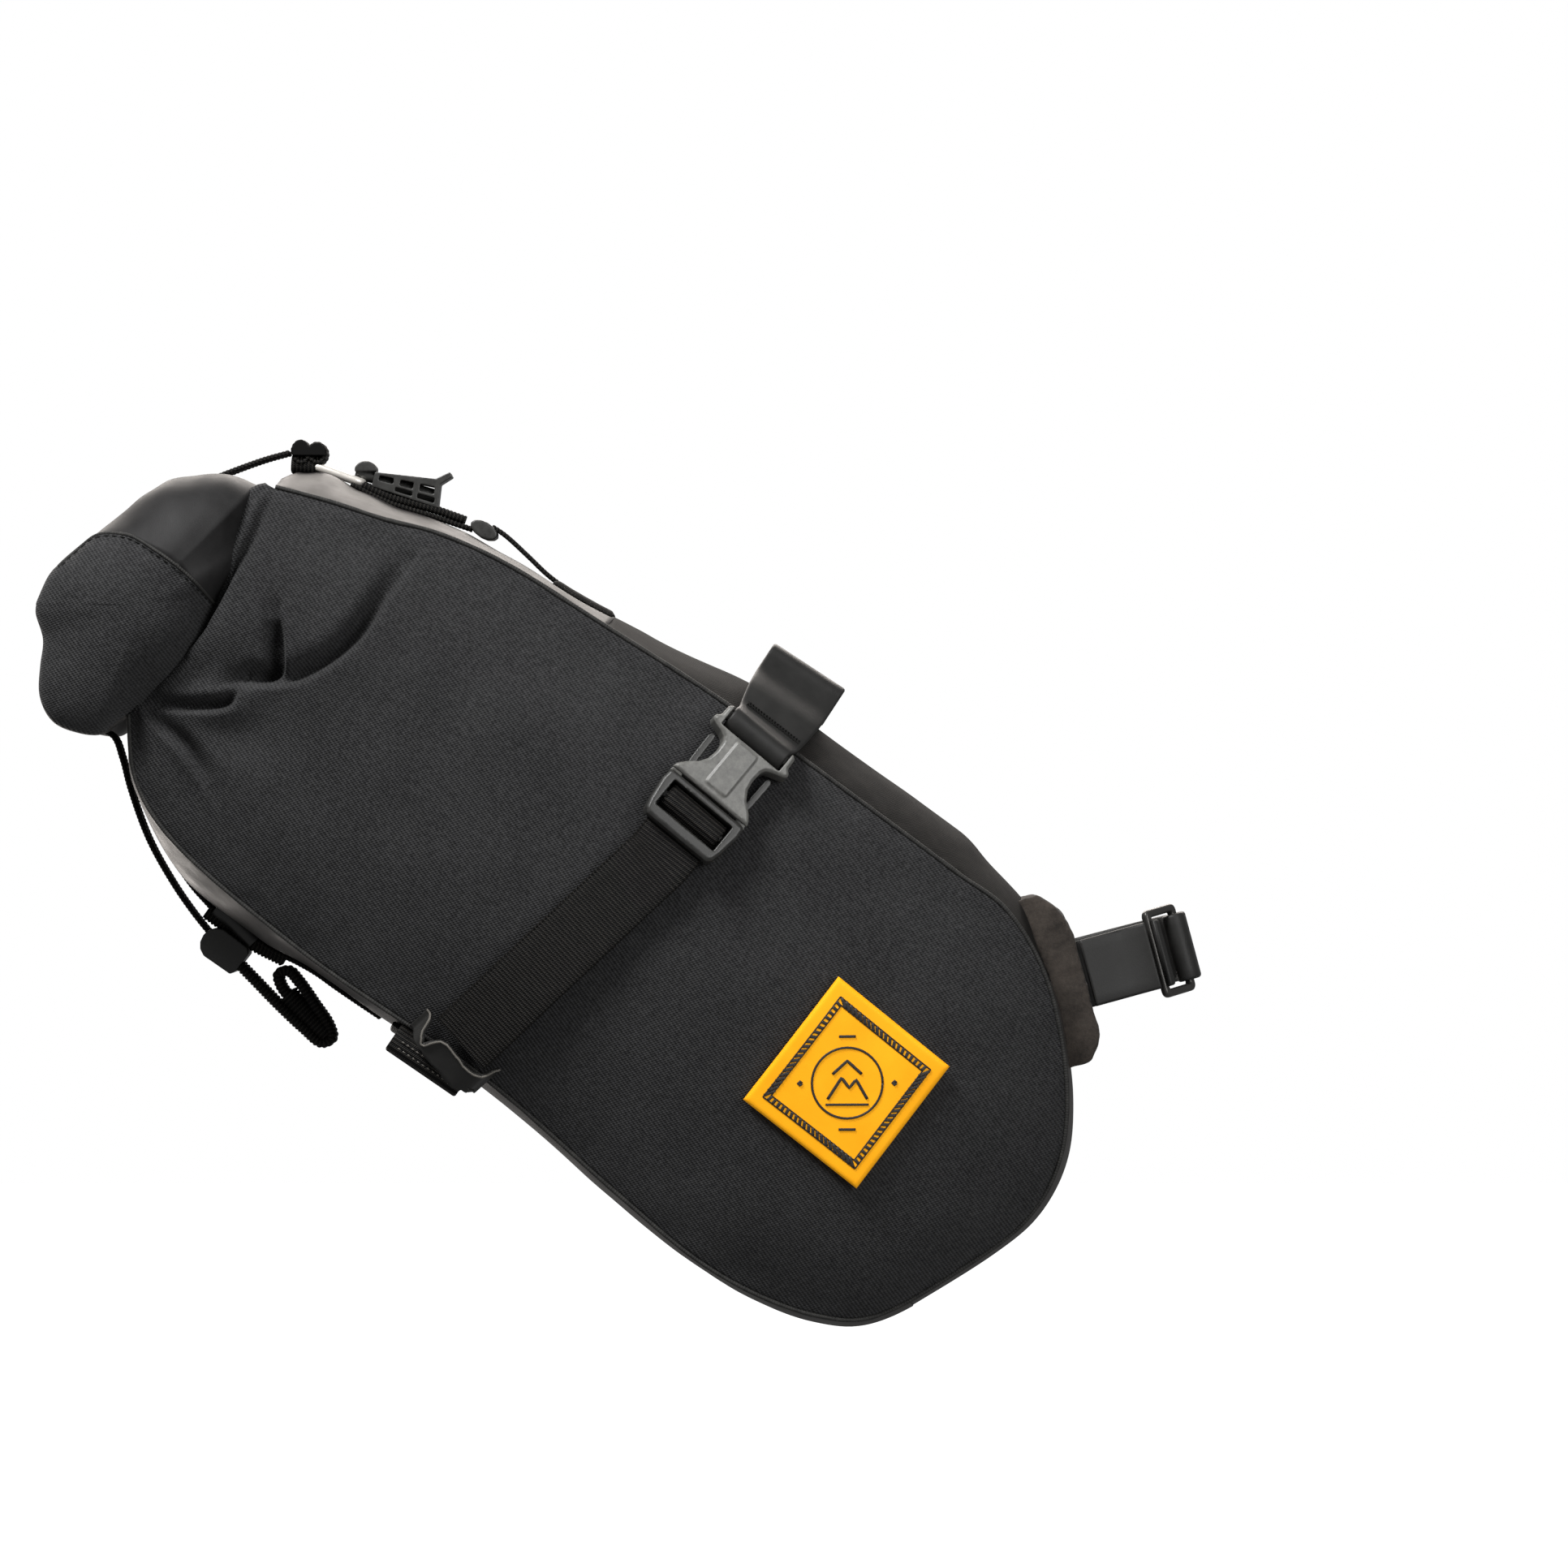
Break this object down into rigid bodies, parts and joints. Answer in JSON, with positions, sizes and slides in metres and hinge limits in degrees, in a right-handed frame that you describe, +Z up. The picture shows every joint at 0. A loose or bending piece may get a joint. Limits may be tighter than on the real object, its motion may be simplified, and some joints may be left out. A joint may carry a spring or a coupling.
{
  "type": "saddle bag",
  "caption": "Roll-top bag that hangs from a saddle's rails by two buckled straps and is held to the seatpost by a third strap; a webbing closure holds its rolled mouth.",
  "frame": {"origin": "midway between the two saddle rails, where the rail straps pass over them", "axes": "+X forward, towards the seatpost; +Y to the rider's left; +Z up"},
  "size_m": [0.3389, 0.1388, 0.2595],
  "materials": {
    "woven_fabric": "matte woven nylon with a fine twill",
    "coated_fabric": "smooth coated woven nylon with a soft sheen",
    "reinforced_fabric": "matte rubberised woven nylon",
    "binding": "turned and stitched seam",
    "foam": "closed-cell foam faced with brushed knit",
    "badge": "amber moulded patch",
    "coated_strap": "matte rubberised woven strap",
    "ribbed_webbing": "ribbed woven webbing",
    "buckle_plastic": "moulded black plastic",
    "steel_wire": "bent steel wire",
    "sheet_plastic": "flexible black sheet"
  },
  "bodies": {
    "bag": {"side_panel_right": "woven_fabric", "side_panel_left": "woven_fabric", "seam_binding_right": "binding", "seam_binding_left": "binding", "top_gusset_rear": "coated_fabric", "top_gusset_front": "reinforced_fabric", "nose_gusset": "coated_fabric", "bottom_gusset": "coated_fabric", "bottom_stiffener": "sheet_plastic", "badge": "badge", "buckle_socket_right": "buckle_plastic", "buckle_socket_left": "buckle_plastic", "side_webbing_right": "ribbed_webbing", "side_webbing_left": "ribbed_webbing", "webbing_keeper_right": "coated_strap", "webbing_keeper_left": "coated_strap", "under_webbing": "ribbed_webbing", "webbing_end_right": "ribbed_webbing", "webbing_end_left": "ribbed_webbing", "rail_strap_right": "coated_strap", "rail_strap_left": "coated_strap", "nose_pad": "foam", "post_strap_right": "coated_strap", "post_strap_left": "coated_strap", "post_ring": "steel_wire", "ladder": "buckle_plastic", "ladder_strap": "ribbed_webbing", "top_slider": "buckle_plastic", "top_strap": "ribbed_webbing", "top_anchor_patch": "reinforced_fabric", "ladder_lock": "buckle_plastic", "bottom_anchor": "ribbed_webbing"},
    "plug_right": {"buckle_plug_right": "buckle_plastic"},
    "prong_front_right": {"prong_front_right": "buckle_plastic"},
    "prong_rear_right": {"prong_rear_right": "buckle_plastic"},
    "plug_left": {"buckle_plug_left": "buckle_plastic"},
    "prong_front_left": {"prong_front_left": "buckle_plastic"},
    "prong_rear_left": {"prong_rear_left": "buckle_plastic"},
    "roll": {"rolled_mouth": "coated_fabric", "mouth_stiffener": "sheet_plastic"},
    "closure": {"closure_strap": "ribbed_webbing", "hook_slider": "ribbed_webbing", "closure_hook": "steel_wire", "hook_grip": "buckle_plastic"},
    "tail": {"closure_tail": "ribbed_webbing"},
    "post_strap_end": {"post_strap_end": "coated_strap"}
  },
  "joints": [
    {"name": "plug_release_right", "type": "slide", "parent": "bag", "child": "plug_right", "axis": [-0.6128, -0.2687, -0.7431], "range_m": [0, 0.018], "deforming": ["side_webbing_right"]},
    {"name": "prong_front_press_right", "type": "hinge", "parent": "plug_right", "child": "prong_front_right", "pos_m": [-0.01986, -0.06167, -0.03941], "axis": [0.1841, -0.9631, 0.1964], "range_deg": [0, 6], "stiffness_Nm_per_rad": 0.08},
    {"name": "prong_rear_press_right", "type": "hinge", "parent": "plug_right", "child": "prong_rear_right", "pos_m": [-0.03323, -0.06196, -0.02828], "axis": [-0.1841, 0.9631, -0.1964], "range_deg": [0, 6], "stiffness_Nm_per_rad": 0.08},
    {"name": "plug_release_left", "type": "slide", "parent": "bag", "child": "plug_left", "axis": [-0.6128, 0.2687, -0.7431], "range_m": [0, 0.018], "deforming": ["side_webbing_left"]},
    {"name": "prong_front_press_left", "type": "hinge", "parent": "plug_left", "child": "prong_front_left", "pos_m": [-0.01986, 0.06167, -0.03941], "axis": [-0.1841, -0.9631, -0.1964], "range_deg": [0, 6], "stiffness_Nm_per_rad": 0.08},
    {"name": "prong_rear_press_left", "type": "hinge", "parent": "plug_left", "child": "prong_rear_left", "pos_m": [-0.03323, 0.06196, -0.02828], "axis": [0.1841, 0.9631, 0.1964], "range_deg": [0, 6], "stiffness_Nm_per_rad": 0.08},
    {"name": "roll_lift", "type": "hinge", "parent": "bag", "child": "roll", "pos_m": [-0.155, 0, 0.0576], "axis": [0, 1, 0], "range_deg": [0, 45]},
    {"name": "closure_swing", "type": "hinge", "parent": "bag", "child": "closure", "pos_m": [-0.1712, 0, -0.0766], "axis": [0, -1, 0], "range_deg": [0, 90]},
    {"name": "tail_swing", "type": "hinge", "parent": "bag", "child": "tail", "pos_m": [-0.1662, 0, -0.0856], "axis": [0, 1, 0], "range_deg": [0, 30]},
    {"name": "post_strap_peel", "type": "hinge", "parent": "bag", "child": "post_strap_end", "pos_m": [0.10344, -0.0203, -0.07975], "axis": [-0.2588, 0, 0.9659], "range_deg": [0, 120]}
  ],
  "couplings": [
    {"joint": "closure_swing", "follows": "roll_lift", "ratio": 2}
  ]
}
